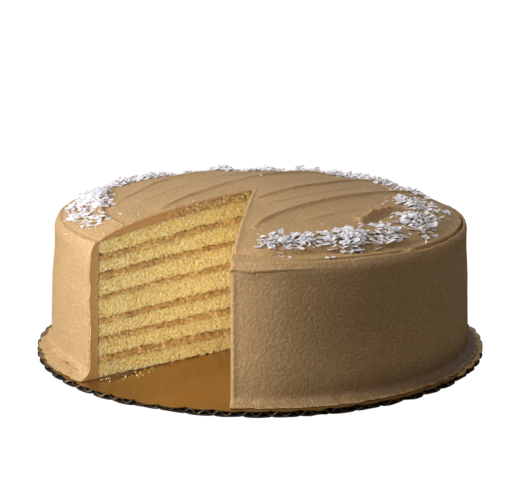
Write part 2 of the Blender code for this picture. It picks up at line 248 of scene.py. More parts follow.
def fluting():
    """The fluted middle sheet, trimmed a little inside the scalloped edge."""
    across = np.arange(FLUTE_MARGIN - BOARD_RADIUS, BOARD_RADIUS - FLUTE_MARGIN, FLUTE_STEP)
    reaches = []
    for side in (-1, 1):
        reach = np.sqrt(BOARD_RADIUS**2 - across**2)
        for _ in range(6):
            turn = np.arctan2(side * reach, across)
            edge = scallop_radius(turn + WORK_TURN) - FLUTE_SETBACK
            reach = np.sqrt(np.maximum(edge**2 - across**2, 1.0))
        reaches.append(reach)
    near, far = reaches
    stations = [-near, -near + 4, -near + 12, far - 12, far - 4, far]
    middle = BOARD_THICKNESS / 2
    swing = middle - LINER_THICKNESS - FLUTE_PAPER / 2
    wave = middle + swing * np.sin(math.tau * across / FLUTE_LENGTH)
    rows = []
    for side, ordered in ((1, stations), (-1, stations[::-1])):
        for depth in ordered:
            flat = turned(np.stack([across, depth], axis=1), WORK_TURN)
            rows.append(np.column_stack([flat, wave + side * FLUTE_PAPER / 2]))
    points = np.stack(rows)
    squeeze = 1 - crush(points) / middle
    points[..., 2] = middle + (points[..., 2] - middle) * squeeze
    upper, lower = points[:6], points[6:]
    parts = [sheet(upper), sheet(lower)]
    for strip in (points[[0, 11]], points[[5, 6]]):
        # How much of the cut edge is painted as lit paper against the painted shade, varying along
        # it
        painted_edge_light = np.clip(0.45 + 0.6 * smooth_noise(strip, 8.0, 6.6), 0.15, 1)
        parts.append(sheet(strip, painted_edge_light))
    for column in (0, -1):
        parts.append(sheet(np.stack([upper[:, column], lower[::-1, column]])))
    return parts


# Gold metallised film on card: a warm mirror blurred by the paper under it
gold_film, tree, place = start_material("gold_foil_on_card")
inputs = {0: place, 1: (math.cos(WORK_TURN), math.sin(WORK_TURN), 0.0)}
sideways = add_node(tree, "ShaderNodeVectorMath", inputs, operation="DOT_PRODUCT")
inputs = {0: sideways.outputs["Value"], 1: math.tau / FLUTE_LENGTH}
phase = add_node(tree, "ShaderNodeMath", inputs, operation="MULTIPLY")
washboard = add_node(tree, "ShaderNodeMath", {0: phase.outputs[0]}, operation="SINE")
smudge = mottling(tree, place, 14)
tone = between(tree, smudge, "#9f7840", "#b89152")
polish = stretched(tree, smudge, to_low=0.24, to_high=0.42)
ridges = bumps(tree, washboard.outputs[0], 0.00004)
grain = bumps(tree, mottling(tree, place, 0.8, 2.0), 0.00002, under=ridges)
set_surface(tree, tone, polish, grain, Metallic=0.9)

# Brown kraft paper: short fibres give a dull, slightly mottled face. Its faces are
# painted very dark as shade, and the cut edge of the fluting is painted paler as lit paper.
kraft_paper, tree, place = start_material("kraft_paper")
fibres = mottling(tree, place, 1.5, 4.0)
# Painted shade on the paper's faces, and painted light on the cut edge of the fluting
painted_shade = between(tree, fibres, "#22150b", "#352313")
paper = between(tree, mesh_mark(tree, "painted_lit_edge"), painted_shade, "#a88458")
set_surface(tree, paper, 0.85, bumps(tree, fibres, 0.00008))

gold_sheet = liner(BOARD_THICKNESS - LINER_THICKNESS, BOARD_THICKNESS)
add_piece("board_gold_liner", [gold_sheet], gold_film, ["cake_board"])
marks = ["painted_lit_edge"]
add_piece("board_fluting", fluting(), kraft_paper, ["cake_board"], marks)
kraft_sheet = liner(0.0, LINER_THICKNESS)
add_piece("board_kraft_liner", [kraft_sheet], kraft_paper, ["cake_board"], marks)

# Sponge layers
# Seven thin layers of yellow butter sponge, baked one to a pan and stacked. The
# knife leaves their open, tender crumb torn, with small holes between pale walls.

GAP = 0.3
SPONGE_RADIUS = 100.4
# The layers settled outwards: the stack's radius is this much more at the board, and
# back to SPONGE_RADIUS at SPREAD_HEIGHT above it
SPONGE_SPREAD = 2.6
SPREAD_HEIGHT = 64.0
DOME_RADIUS = 101.6
SPONGE_EDGE = [7.3, 6.6, 5.3, 8.3, 7.0, 5.4, 6.2]
SPONGE_CENTRE = [7.5, 7.3, 7.4, 9.3, 8.7, 8.4, 8.2]
FILLING_EDGE = [3.1, 2.9, 3.3, 2.2, 3.3, 3.3]
FILLING_CENTRE = [3.7, 3.1, 4.0, 3.0, 2.6, 3.0]
LAYER_COUNT = len(SPONGE_EDGE) + len(FILLING_EDGE)
DOME_POWER = 1.4
LAYER_WAVE = 0.4
LAYER_WAVE_LENGTH = 45.0
CHANNEL_STEP = 7.3
LEAN = np.array([-0.0177, 0.0038])
SLICE_TIP = np.array([5.3, -16.5])
# Half the angle of the slice, in degrees
HALF_SLICE = 23.6
RIGHT_CUT = math.radians(-90 + HALF_SLICE)
LEFT_CUT = math.radians(270 - HALF_SLICE)
# The torn relief of a cut runs out over this distance from the slice's tip
TIP_FADE = 1.5
CRUMB_STEP = 0.42
CRUMB_ROWS = 19
LARGE_HOLE = 1.7
SMALL_HOLE = 0.9
RIM_COLUMNS = 90
# Points inside a hidden face: how far apart, and how far in from its edge
HIDDEN_SPACING = 12.0
HIDDEN_CLEARANCE = 4.0
FOIL_CLEARANCE = 0.03


def layer_boundary(number, flat):
    """Height of the surface under layer number, counted from 0 at the board."""
    edge = centre = BOARD_THICKNESS + GAP / 2
    for i in range(number):
        edges, centres = (FILLING_EDGE, FILLING_CENTRE) if i % 2 else (SPONGE_EDGE, SPONGE_CENTRE)
        edge += edges[i // 2]
        centre += centres[i // 2]
    share = np.minimum(1.0, np.hypot(flat[..., 0], flat[..., 1]) / DOME_RADIUS)
    domed = edge + (centre - edge) * (1 - share**DOME_POWER)
    spots = (flat / LAYER_WAVE_LENGTH).reshape(-1, 2).tolist()
    wave = [noise.noise(Vector((x, y, CHANNEL_STEP * number))) for x, y in spots]
    wave = 2 * np.array(wave).reshape(share.shape)
    amount = LAYER_WAVE if number else 0.0
    return domed + number / LAYER_COUNT * (flat @ LEAN) + amount * wave


def side_radius(height):
    """Radius of the stack of layers at this height."""
    share = np.clip(1 - (height - BOARD_THICKNESS) / SPREAD_HEIGHT, 0, 1)
    return SPONGE_RADIUS + SPONGE_SPREAD * share


def layer_radius(number):
    """Radius of one layer, that of the stack at its middle height."""
    edge = np.array([DOME_RADIUS, 0.0])
    return side_radius((layer_boundary(number, edge) + layer_boundary(number + 1, edge)) / 2)


def out_from_tip(turn, radius):
    """Distance from the slice's tip to the circle of this radius, in this direction."""
    along = SLICE_TIP[0] * np.cos(turn) + SLICE_TIP[1] * np.sin(turn)
    return -along + np.sqrt(radius**2 - SLICE_TIP @ SLICE_TIP + along**2)


def cut_directions(turn):
    """The direction out along a cut, and the one from it into the cake."""
    outward = direction(turn)
    side = 1 if turn == RIGHT_CUT else -1
    return outward, side * np.array([-outward[1], outward[0]])


def from_cuts(flat):
    """Distance from the nearer cut, below zero where the slice was taken out."""
    across = np.abs(flat[..., 0] - SLICE_TIP[0])
    outward = SLICE_TIP[1] - flat[..., 1]
    half = math.radians(HALF_SLICE)
    return across * math.cos(half) - outward * math.sin(half)


def upright(flat, number, rows):
    """Points above a line, over the height of a layer, and each row's share of it."""
    low = layer_boundary(number, flat) + GAP / 2
    high = layer_boundary(number + 1, flat) - GAP / 2
    share = np.linspace(0, 1, rows)[:, None]
    below = np.broadcast_to(flat, (rows, *flat.shape))
    return np.dstack([below, low + share * (high - low)]), share


def plain_face(loop, values, number, lift):
    """The hidden top or underside of a layer, over a closed loop of points."""
    corners = [Vector(p) for p in loop[:, :2].tolist()]
    steps = np.arange(-SPONGE_RADIUS, SPONGE_RADIUS, HIDDEN_SPACING)
    for x in steps:
        for y in steps:
            away = np.hypot(loop[:, 0] - x, loop[:, 1] - y).min()
            in_cake = math.hypot(x, y) < SPONGE_RADIUS and from_cuts(np.array([x, y])) >= 0
            if in_cake and away > HIDDEN_CLEARANCE:
                corners.append(Vector((x, y)))
    ring = list(range(len(loop)))
    flat, _, faces, origins, *_ = geometry.delaunay_2d_cdt(corners, [], [ring], 1, 1e-7)
    flat = np.array([tuple(p) for p in flat])
    points = np.column_stack([flat, layer_boundary(number, flat) + lift])
    rows = np.zeros((len(points), values.shape[1]))
    for i, source in enumerate(origins):
        known = [k for k in source if k < len(loop)]
        if known:
            points[i] = loop[known[0]]
            rows[i] = values[known[0]]
    return points, np.array(faces), rows


def layer_parts(number, spacing, rows, cut_relief):
    """One layer with two detailed cut faces, a rim, a top and an underside."""
    faces = []
    for turn in (RIGHT_CUT, LEFT_CUT):
        outward, into_cake = cut_directions(turn)
        reach = out_from_tip(turn, layer_radius(number))
        along = np.linspace(0, reach, round(reach / spacing) + 1)
        points, share = upright(SLICE_TIP + along[:, None] * outward, number, rows)
        depth, lift, values = cut_relief(points, share)
        depth = depth * np.clip(along / TIP_FADE, 0, 1)
        points[..., :2] += depth[..., None] * into_cake
        points[..., 2] = np.maximum(points[..., 2] + lift, BOARD_THICKNESS + FOIL_CLEARANCE)
        faces.append((points, values))
    (right, right_values), (left, left_values) = faces
    start, stop = (np.arctan2(face[0, -1, 1], face[0, -1, 0]) for face in (right, left))
    turns = np.linspace(start, stop + math.tau, RIM_COLUMNS)[1:-1]
    rim, _ = upright(layer_radius(number) * direction(turns), number, rows)
    rim = np.concatenate([right[:, -1:], rim, left[:, -1:]], axis=1)
    width = right_values.shape[-1]
    parts = [sheet(right, right_values), sheet(left, left_values), sheet(rim, marks=width)]
    plain = np.zeros((RIM_COLUMNS - 2, width))
    for row, level, lift in ((0, number, GAP / 2), (-1, number + 1, -GAP / 2)):
        loop = np.concatenate([right[row], rim[row, 1:-1], left[row, :0:-1]])
        values = np.concatenate([right_values[row], plain, left_values[row, :0:-1]])
        parts.append(plain_face(loop, values, level, lift))
    return parts


def holes(points, size, open_share, shift=0.0):
    """How far each spot is inside a hole of the crumb, from 0 at a wall to 1."""
    inside = []
    for spot in (points.reshape(-1, 3) / size + shift).tolist():
        distances, centres = noise.voronoi(Vector(spot))
        # Each cell gets its own number, which looks random and never changes
        pick = math.sin(centres[0].x * 127.1 + centres[0].y * 311.7 + centres[0].z * 74.7)
        chosen = (pick * 43758.5) % 1.0 < open_share
        wall = min(1.0, (distances[1] - distances[0]) * 2.2)
        inside.append(wall if chosen else 0.0)
    return np.array(inside).reshape(points.shape[:-1])


def crumb_relief(points, share):
    """The torn, open crumb: how deep, how far shifted, the painted shade in its holes, and its
    crust.
    """
    large = holes(points, LARGE_HOLE, 0.2)
    small = holes(points, SMALL_HOLE, 0.55, 3.1)
    rough = smooth_noise(points, 0.8, 8.2)
    bulge = smooth_noise(points, 7.0, 2.2)
    near_edge = np.abs(2 * share - 1) ** 7
    depth = 0.3 + 0.5 * large + 0.5 * small + 0.35 * rough + 0.2 * bulge
    depth = np.maximum(depth + 0.2 * near_edge, 0.0)
    ragged = smooth_noise(points, 1.3, 5.5) + 0.9 * smooth_noise(points, 4.5, 1.5)
    lift = np.sign(2 * share - 1) * near_edge * (0.28 + 0.42 * ragged)
    # How far into a hole: the crumb is painted darker there as shade
    hole_shade = np.clip(0.4 * large + 0.5 * small + 0.35 * rough, 0, 1)
    soaked = 1.1 * share**4 * (1 + 0.6 * smooth_noise(points, 6.0, 4.7))
    return depth, lift, np.stack([hole_shade, near_edge + np.maximum(soaked, 0)], axis=-1)


# Yellow sponge crumb: dull, light-scattering walls round small holes painted darker as
# shade, browner where the baked skin meets the caramel and where that soaked in from above
sponge_crumb, tree, place = start_material("yellow_butter_sponge")
speckle = mottling(tree, place, 1.1, 3.0, 0.7)
walls = between(tree, stretched(tree, speckle, 0.4, 0.62), "#e8c765", "#fff3c6")
oven = stretched(tree, mottling(tree, place, 12, 2.0), to_high=0.5)
warmed = between(tree, oven, walls, "#f5e196")
# Painted shade inside the holes of the layers' crumb; the loose crumbs carry an even, random amount
# of the same darkening as tone
crumb = between(tree, mesh_mark(tree, "hole"), warmed, "#c99d4c")
inputs = {0: mesh_mark(tree, "baked_skin"), 1: 0.22}
baked = add_node(tree, "ShaderNodeMath", inputs, operation="MULTIPLY")
toasted = between(tree, baked.outputs[0], crumb, "#a9762f")
pitted = bumps(tree, speckle, 0.0009, 0.9)
set_surface(tree, toasted, 0.85, pitted, (0.25, (1.0, 0.6, 0.3), 0.0015))

for i in range(7):
    parts = layer_parts(2 * i, CRUMB_STEP, CRUMB_ROWS, crumb_relief)
    name = f"sponge_layer_{i + 1}"
    marks = ["hole", "baked_skin"]
    add_piece(name, parts, sponge_crumb, [f"sponge_{i + 1}"], marks, 75)

# Caramel fillings
# Six thin coats of cooked caramel icing, spread warm between the layers. The knife
# drags them back a little behind the sponge and pulls crumbs over them.

FILLING_STEP = 0.55
FILLING_ROWS = 8


def filling_relief(points, share):
    """Smeared caramel: set back from the sponge, lumpy, with crumbs dragged on it."""
    lumps = smooth_noise(points, 2.6, 1.1)
    fine = smooth_noise(points, 0.9, 6.3)
    torn = holes(points, 2.0, 0.35, 5.9)
    depth = 0.45 + 0.3 * lumps + 0.25 * fine + 0.4 * torn
    depth = depth + 0.9 * share**1.5
    near_sponge = np.abs(2 * share - 1) ** 2
    dragged = 1.6 * smooth_noise(points, 1.1, 9.9) + 0.9 * smooth_noise(points, 8.0, 2.9)
    crumbs = np.clip(dragged - 0.45 + 0.7 * near_sponge, 0, 1)
    # Painted shade: darker in tears, in lumps that lie further back, and along the top under the
    # sponge above
    shade = np.clip(0.5 * torn + 0.5 * np.clip(lumps, 0, 1) + 0.8 * share**4, 0, 1)
    return np.maximum(depth, 0), 0.0 * depth, np.stack([shade, crumbs], axis=-1)


# Cooked caramel icing where it is cut: brown, a little greasy, and painted darker as
# shade where it lies further back, in its tears and along its top under the sponge above
cut_caramel, tree, place = start_material("cut_caramel_filling")
mottle = mottling(tree, place, 1.2)
sugar = between(tree, mottle, "#ab8246", "#d1a668")
# Painted shade where the caramel lies further back and under the sponge above
torn = between(tree, mesh_mark(tree, "painted_recess_shade"), sugar, "#7e5827")
crumbed = between(tree, mesh_mark(tree, "dragged_crumb"), torn, "#e2c07c")
smeared = bumps(tree, mottle, 0.0004, 0.7)
set_surface(tree, crumbed, 0.5, smeared, (0.2, (1.0, 0.5, 0.2), 0.0015))

for i in range(6):
    parts = layer_parts(2 * i + 1, FILLING_STEP, FILLING_ROWS, filling_relief)
    name = f"caramel_filling_{i + 1}"
    marks = ["painted_recess_shade", "dragged_crumb"]
    add_piece(name, parts, cut_caramel, [f"filling_{i + 1}"], marks, 75)

# Icing
# One thick coat of whipped caramel icing over the top and the side. A spatula left
# long strokes across the top, a folded lip round the rim and a smeared foot.

ICING_COLUMNS = 528
# The first and last columns stand closer, to round the icing off at the cuts. The
# even ones start at PLAIN_START.
CUT_COLUMNS = [0.0, 0.3, 0.65, 1.1, 1.7]
PLAIN_START = 2.6
CUT_BURR = 0.4
CUT_ROWS = 9
BACK_ROW_STEP = 18
FIELD_ROWS = 100
FIELD_RADIUS = 92.0
RIM_ROWS = 26
TOP_CENTRE = 83.3
TOP_RADIUS = 103.8
TOP_FALL = 11.4
TOP_FALL_POWER = 1.5
TOP_ROLL = 5.6
TOP_ROLL_POWER = 8
ROLL_RADIUS = 103.4
LIP_RADIUS = 104.4
SIDE_TAPER = 1.5
LEFT_TAPER = 0.7
SHOULDER_DROP = 4.8
# Rows of points down the shoulder, each at this drop below the rim
SHOULDER_ROWS = [0.12, 0.35, 0.7, 1.1, 1.6, 2.1, 2.6, 3.1, 3.5, 3.9, 4.3, 4.8, 5.6]
WALL_RADIUS = 105.3
WALL_WAVE = 0.3
WALL_STEP = 3.8
FOOT_TOP = 12.3
FOOT_RADIUS = 106.2
FOOT_ROWS = 18
FOOT_FLOOR = 3.3
FOOT_REACH = 4.6
FOOT_SPREAD = 1.7
STROKE_FADE = 9.0
STROKE_STEEP = 0.8
STROKE_TROUGH = 4.5
STROKE_BURR = 0.4
# The painted shade at the foot fades out between these heights
FOOT_SHADE_LOW = 3.5
FOOT_SHADE_HIGH = 17.0

# Crests of the spatula strokes: height, width of the gentle side to the left of
# the direction of travel, and points on the way
STROKES = {
    "far left": (0.8, 11, [(-71, -24), (-64, -10), (-59, 3), (-54, 17), (-43, 42), (-20, 76)]),
    "left, faint": (0.45, 9, [(-59, -27), (-44, -6), (-15, 35), (8, 72)]),
    "left of the tip": (1.3, 12, [(-48, -46), (-35, -27.5), (-16, -2), (1, 23), (17, 48), (38, 74)]),
    "right of the tip": (1.1, 11, [(-3, -35), (17.5, -11), (34, 8), (48, 30), (70, 58)]),
    "faint by the tip": (0.4, 8, [(1, -43), (26, -19), (52, 12)]),
    "long front": (1.5, 13, [(-3, -75), (0, -69), (11, -54), (40, -23), (69, 7.5), (82, 20)]),
    "short front": (0.6, 8, [(18, -66), (33, -52), (47, -40)]),
    "far right": (0.7, 9, [(62, -12), (74, 2), (84, 14)]),
    "front, fine": (0.5, 5, [(-5, -82.5), (8, -82), (22, -80)]),
}
# A short scoop at the front right, whose edge was lifted and tore
SCOOP = [(46.7, -59), (52, -48), (54, -43), (57.5, -38), (61, -34), (69, -30)]
SCOOP_EDGE = 1.6
SCOOP_HOLLOW = 2.2
# Edge of the stroked field at the left, below the smooth ring outside it
LEFT_EDGE = [(-63, -57.5), (-68.5, -53), (-73.5, -44), (-76, -34), (-78, -19), (-80, -3), (-82, 10)]
LEFT_STEP = 1.2


def soft_step(value, low, high):
    """0 below low, 1 above high, and an S-curve between."""
    share = np.clip((value - low) / (high - low), 0, 1)
    return share * share * (3 - 2 * share)


def hump(value, middle, width):
    """A smooth bump that is 1 at the middle."""
    return np.exp(-(((value - middle) / width) ** 2))


def curve_through(points, step=2.0):
    """Points at even steps along a smooth curve through a few given ones."""
    given = [np.array(p, float) for p in points]
    ends = [2 * given[0] - given[1]] + given + [2 * given[-1] - given[-2]]
    path = []
    for before, start, stop, after in zip(ends, ends[1:], ends[2:], ends[3:]):
        pieces = max(1, round(np.linalg.norm(stop - start) / step))
        for t in np.arange(pieces) / pieces:
            drift = (stop - before) * t
            bend = (2 * before - 5 * start + 4 * stop - after) * t**2
            twist = (3 * start - 3 * stop + after - before) * t**3
            path.append(start + 0.5 * (drift + bend + twist))
    return np.array(path + [given[-1]])


def beside(path, spots):
    """Each spot's distance to a path, its side (1 for left), and its place along it."""
    nearest = np.full(len(spots), 1e9)
    side = np.ones(len(spots))
    place = np.zeros(len(spots))
    run = 0.0
    for start, stop in zip(path, path[1:]):
        length = np.linalg.norm(stop - start)
        along = (stop - start) / length
        reach = np.clip((spots - start) @ along, 0, length)
        offset = spots - (start + reach[:, None] * along)
        distance = np.hypot(offset[:, 0], offset[:, 1])
        closer = distance < nearest
        nearest[closer] = distance[closer]
        turn = along[0] * offset[:, 1] - along[1] * offset[:, 0]
        side[closer] = np.where(turn[closer] >= 0, 1.0, -1.0)
        place[closer] = run + reach[closer]
        run += length
    ends = np.clip(np.minimum(place, run - place) / STROKE_FADE, 0, 1)
    return nearest, side, ends


def stroke_relief(spots):
    """Long strokes that rise gently to a crest and drop steeply on the other side."""
    relief = np.zeros(len(spots))
    for height, width, points in STROKES.values():
        distance, side, ends = beside(curve_through(points), spots)
        gentle = np.clip(1 - distance / width, 0, 1) ** 1.6
        steep = np.exp(-((distance / STROKE_STEEP) ** 1.5))
        trough = 0.45 * steep + 0.55 * np.exp(-distance / STROKE_TROUGH)
        burr = STROKE_BURR * np.exp(-((distance / 0.75) ** 2))
        shape = np.where(side > 0, gentle, trough)
        relief += np.sqrt(ends) * (height * shape + burr * min(1.0, height))
    return relief


def scoop_relief(spots):
    """The lifted, torn edge at the front right and the hollow beside it."""
    distance, side, ends = beside(curve_through(SCOOP, 1.0), spots)
    ragged = 1 + 0.5 * smooth_noise(spots, 2.2, 3.7)
    edge = SCOOP_EDGE * ragged * np.where(side > 0, np.exp(-distance / 5), np.exp(-distance / 0.5))
    hollow = np.where(side < 0, hump(distance, 2.4, 2.6) * (distance > 0.2), 0)
    return np.sqrt(np.clip(3 * ends, 0, 1)) * edge - SCOOP_HOLLOW * ends**0.5 * hollow


def left_edge_relief(spots):
    """The smooth ring at the left stands above the stroked field, with a thin lip."""
    distance, side, ends = beside(curve_through(LEFT_EDGE), spots)
    outer = np.exp(-distance / 9)
    inner = np.exp(-((distance / 0.7) ** 1.5))
    lip = 0.4 * np.exp(-((distance / 0.8) ** 2))
    return np.sqrt(ends) * (LEFT_STEP * np.where(side > 0, outer, inner) + lip)


def rim_relief(spots):
    """The step, groove and folded lip that the last pass left round the rim."""
    radius = np.hypot(spots[:, 0], spots[:, 1])
    angle = np.arctan2(spots[:, 1], spots[:, 0])
    radius = radius + taper(angle) * soft_step(radius, 85, 101)
    turn = np.degrees(angle)
    uneven = smooth_noise(spots, 16.0, 6.1)
    front = soft_step(turn, -112, -98) * (1 - soft_step(turn, -56, -38))
    grooved = soft_step(turn, -58, -36) * (1 - soft_step(turn, 8, 42))
    left = soft_step(-turn, 120, 132) + soft_step(turn, 150, 178)
    edge = 95.2 + 1.4 * soft_step(turn, -75, -50) + 0.6 * uneven
    ledge = soft_step(radius, edge - 0.4, edge + 0.7) * (1 - soft_step(radius, 98, 103.5))
    crease = hump(radius, 101.2 + 0.5 * uneven, 0.8)
    lip = hump(radius, 103.3, 1.5)
    relief = front * (0.8 * hump(radius, edge - 0.6, 0.7) - 1.7 * ledge)
    relief -= front * 0.8 * hump(radius, edge + 1.1, 0.55)
    relief += front * (1.15 * lip - 0.4 * crease)
    bank = soft_step(radius, 93.5, 99.5) * (1 - soft_step(radius, 102.6, 103.6))
    channel = soft_step(radius, 100.2, 101.6) * (1 - soft_step(radius, 102.6, 103.6))
    torn = 1 + 0.6 * smooth_noise(spots, 3.4, 1.9)
    thin_lip = hump(radius, 104.2, 0.6)
    relief += grooved * (0.3 * hump(radius, 94.5, 1.3) - 0.9 * bank - 1.6 * channel)
    relief += grooved * 0.9 * torn * thin_lip
    relief += left * (0.3 * lip - 0.3 * hump(radius, 101.2, 0.8))
    flap = hump(turn, -48.5, 2.4) * hump(radius, 102.2, 1.1)
    flap -= 0.5 * hump(turn, -48.5, 3.2) * hump(radius, 99.8, 0.8)
    rounded = 0.45 * np.maximum(radius - 102.6, 0) ** 2 * (1 - 0.9 * grooved)
    return relief + 2.0 * flap * torn - rounded


def taper(work_turn):
    """How much narrower the rim is at the left and the right than in front."""
    aside = np.cos(work_turn)
    return (SIDE_TAPER + LEFT_TAPER * (aside < 0)) * np.abs(aside) ** 5


def icing_top(flat):
    """Height of the icing's upper face."""
    spots = turned(flat, -WORK_TURN)
    radius = np.hypot(flat[:, 0], flat[:, 1])
    share = np.minimum(radius, ROLL_RADIUS) / TOP_RADIUS
    height = TOP_CENTRE - TOP_FALL * share**TOP_FALL_POWER - TOP_ROLL * share**TOP_ROLL_POWER
    height = height + flat @ LEAN
    field = 1 - soft_step(radius, 92, 98)
    height += field * stroke_relief(spots) + scoop_relief(spots) + left_edge_relief(spots)
    height += rim_relief(spots)
    height += 0.12 * smooth_noise(flat, 11.0, 4.4) + 0.03 * smooth_noise(flat, 2.0, 7.7)
    away = from_cuts(flat)
    dragged = CUT_BURR * (1 + 0.6 * smooth_noise(flat, 6.0, 8.1)) * hump(away, 1.2, 0.9)
    height += dragged - 0.35 * np.exp(-((away / 0.4) ** 2))
    height = np.minimum(height, TOP_CENTRE + 0.85)
    covered = radius < SPONGE_RADIUS + GAP + 0.25
    return np.where(covered, np.maximum(height, layer_boundary(LAYER_COUNT, flat) + 0.6), height)


def wall_shape(turn, drop):
    """Radius of the upper wall at this drop below the rim, with the folded lip."""
    degrees = (np.degrees(turn - WORK_TURN) + 180) % 360 - 180
    shoulder = 1 - np.clip(1 - drop / SHOULDER_DROP, 0, 1) ** 3.2
    radius = LIP_RADIUS + (WALL_RADIUS - LIP_RADIUS) * shoulder - taper(turn - WORK_TURN)
    rim = direction(turn) * WALL_RADIUS
    ragged = smooth_noise(rim, 5.0, 2.8) + 0.5 * smooth_noise(rim, 1.8, 5.1)
    folded = soft_step(degrees, -112, -99) * (1 - soft_step(degrees, -93, -68))
    width = 1.9 * folded + 0.4 * ragged
    fold = folded * (1 - soft_step(drop, width - 0.3, width + 0.5)) * soft_step(drop, 0, 0.8)
    return radius + 0.8 * fold


def foot_shape(turn, rise):
    """Radius of the smeared foot at this share of its height."""
    rim = direction(turn) * FOOT_RADIUS
    spread = np.clip(0.5 + 0.5 * smooth_noise(rim, 15.0, 3.3), 0, 1)
    lumps = np.clip(smooth_noise(rim, 5.0, 8.8) + 0.3 * smooth_noise(rim, 2.4, 0.6), -0.9, 1)
    reach = FOOT_REACH + FOOT_SPREAD * spread + 0.8 * lumps
    leftward = soft_step(-np.cos(turn - WORK_TURN), 0.2, 0.75)
    hollow = (1 - rise) ** (7.0 + 2.0 * spread - 4.2 * leftward)
    ledge = hump(rise, 0.16 + 0.05 * lumps, 0.1) * 0.5 * np.clip(lumps, -0.3, 1)
    wavy = 0.44 + 0.09 * smooth_noise(rim, 7.0, 2.6)
    rolled = leftward * soft_step(from_cuts(rim), 1.0, 13.0)
    ledge += rolled * (1.7 + 1.3 * lumps) * hump(rise, wavy, 0.08)
    ledge -= rolled * 1.3 * hump(rise, wavy - 0.18, 0.09)
    reach = np.clip(reach + 0.8 * leftward * (1 + lumps), 0.5, 7.0)
    return FOOT_RADIUS + reach * hollow + ledge * soft_step(rise, 0, 0.1)


def from_tip(turns, radius):
    """Points on a circle, or on an uneven one, along each ray from the slice's tip."""
    return SLICE_TIP + out_from_tip(turns, radius)[:, None] * direction(turns)


def outer_skin(turns):
    """Rows of points from the tip over the top, down the wall and out to the foot."""
    rows = []
    reach = out_from_tip(turns, FIELD_RADIUS)
    for share in np.linspace(0, 1, FIELD_ROWS):
        rows.append(SLICE_TIP + (reach * share)[:, None] * direction(turns))
    lip = from_tip(turns, LIP_RADIUS)
    lip_radius = LIP_RADIUS - taper(np.arctan2(lip[:, 1], lip[:, 0]) - WORK_TURN)
    for share in np.arange(1, RIM_ROWS + 1) / RIM_ROWS:
        rows.append(from_tip(turns, FIELD_RADIUS + share * (lip_radius - FIELD_RADIUS)))
    flat = np.stack(rows)
    heights = icing_top(flat.reshape(-1, 2)).reshape(flat.shape[:2])
    top = np.dstack([flat, heights])
    rim_turn = np.arctan2(flat[-1, :, 1], flat[-1, :, 0])
    rim_height = heights[-1]
    wall = []
    for drop in SHOULDER_ROWS:
        wall.append((wall_shape(rim_turn, drop), rim_height - drop))
    start = rim_height - SHOULDER_ROWS[-1]
    count = round((start.mean() - FOOT_TOP) / WALL_STEP)
    for share in np.arange(1, count + 1) / count:
        level = start + (FOOT_TOP - start) * share
        radius = WALL_RADIUS + (FOOT_RADIUS - WALL_RADIUS) * soft_step(share, 0.5, 1.0)
        narrowed = taper(rim_turn - WORK_TURN) * (1 - soft_step(share, 0.0, 0.55))
        wall.append((radius - narrowed, level))
    for rise in np.linspace(1, 0, FOOT_ROWS)[1:]:
        level = FOOT_FLOOR + rise * (FOOT_TOP - FOOT_FLOOR)
        wall.append((foot_shape(rim_turn, rise), level + 0 * rim_height))
    side = []
    by_left_cut = hump(np.degrees(turns - LEFT_CUT), 0.0, 6.0)
    for radius, level in wall:
        spots = np.column_stack([radius * np.cos(rim_turn), radius * np.sin(rim_turn), level])
        swollen = 1.1 + 0.5 * smooth_noise(spots * (0, 0, 1), 7.0, 3.9)
        radius = radius + by_left_cut * swollen * soft_step(rim_height - level, 1.0, 9.0)
        away = soft_step(rim_height - level, 1.0, 8.0)
        uneven = WALL_WAVE * smooth_noise(spots, 38.0, 1.7) + 0.07 * smooth_noise(spots, 9.0, 2.1)
        from_cut = from_cuts(spots[:, :2])
        rounding = 0.4 * np.exp(-((from_cut / 0.5) ** 2))
        uneven += 1.3 * CUT_BURR * hump(from_cut, 1.3, 0.8) - rounding
        flat = from_tip(turns, radius + away * uneven)
        side.append(np.column_stack([flat, level]))
    return np.concatenate([top, np.stack(side)])


def inner_skin(turns, outer):
    """For each point of the outer skin, the point behind it on the layers."""
    top_rows = FIELD_ROWS + RIM_ROWS
    rim = np.hypot(*(outer[top_rows - 1, :, :2] - SLICE_TIP).T)
    scale = out_from_tip(turns, SPONGE_RADIUS + GAP) / rim
    inner = outer.copy()
    flat = SLICE_TIP + (outer[:top_rows, :, :2] - SLICE_TIP) * scale[:, None]
    inner[:top_rows, :, :2] = flat
    inner[:top_rows, :, 2] = layer_boundary(LAYER_COUNT, flat) + GAP / 2
    corner = inner[top_rows - 1]
    drop = outer[top_rows - 1, :, 2] - outer[top_rows:, :, 2]
    share = drop / drop[-1]
    inner[top_rows:, :, 2] = corner[:, 2] + share * (FOOT_FLOOR - corner[:, 2])
    for row in inner[top_rows:]:
        row[:, :2] = from_tip(turns, side_radius(row[:, 2]) + GAP)
    return inner


def bridge(upper, lower):
    """A plain part between two lines of points with different counts."""
    i = j = 0
    last_upper, last_lower = len(upper) - 1, len(lower) - 1
    triangles = []
    while i < last_upper or j < last_lower:
        beyond = len(upper) + j
        upper_next = i < last_upper and (i + 1) / last_upper <= (j + 1) / last_lower
        if j == last_lower or upper_next:
            triangles.append((i, i + 1, beyond))
            i += 1
        else:
            triangles.append((i, beyond + 1, beyond))
            j += 1
    points = np.concatenate([upper, lower])
    return points, triangles, np.zeros((len(points), 3))


